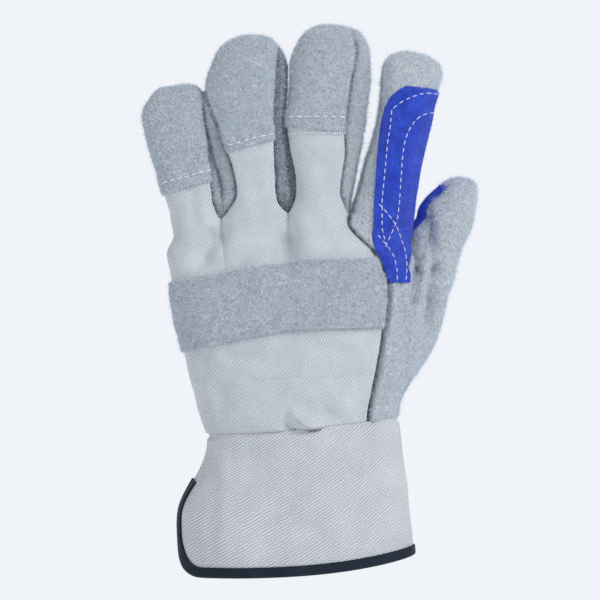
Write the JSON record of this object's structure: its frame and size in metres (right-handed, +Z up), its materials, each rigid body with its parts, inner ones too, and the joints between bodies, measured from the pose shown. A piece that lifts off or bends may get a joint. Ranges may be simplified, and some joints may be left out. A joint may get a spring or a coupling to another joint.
{
  "type": "mechanical protection glove",
  "caption": "Left-hand rigger work glove: canvas back, split-leather palm, fingertips and knuckle band, blue suede on index finger and thumb, stiff flared cuff with bound edge",
  "frame": {"origin": "centre of the cuff's open mouth, where the hand goes in", "axes": "+Z up from the cuff to the fingertips, -Y out of the back of the hand, +X towards the thumb"},
  "size_m": [0.1644, 0.0566, 0.2698],
  "materials": {
    "canvas": "unbleached white cotton twill, matt, faint diagonal weave",
    "split_leather": "pale grey split cow leather with a fuzzy suede nap, matt",
    "blue_suede": "royal blue suede split leather, matt, with a soft nap",
    "cuff_cloth": "stiff rubberised cotton twill, pale grey, matt",
    "binding_tape": "dark navy woven binding tape, matt"
  },
  "bodies": {
    "root": {"back_panel": "canvas", "gusset_little_ring": "split_leather", "gusset_ring_middle": "split_leather", "gusset_middle_index": "split_leather", "palm_panel": "split_leather", "index_finger": "split_leather", "thumb": "split_leather", "fingertip_little": "split_leather", "fingertip_ring": "split_leather", "fingertip_middle": "split_leather", "knuckle_band": "split_leather", "index_patch": "blue_suede", "thumb_patch": "blue_suede", "cuff": "cuff_cloth", "cuff_binding": "binding_tape"}
  },
  "joints": []
}
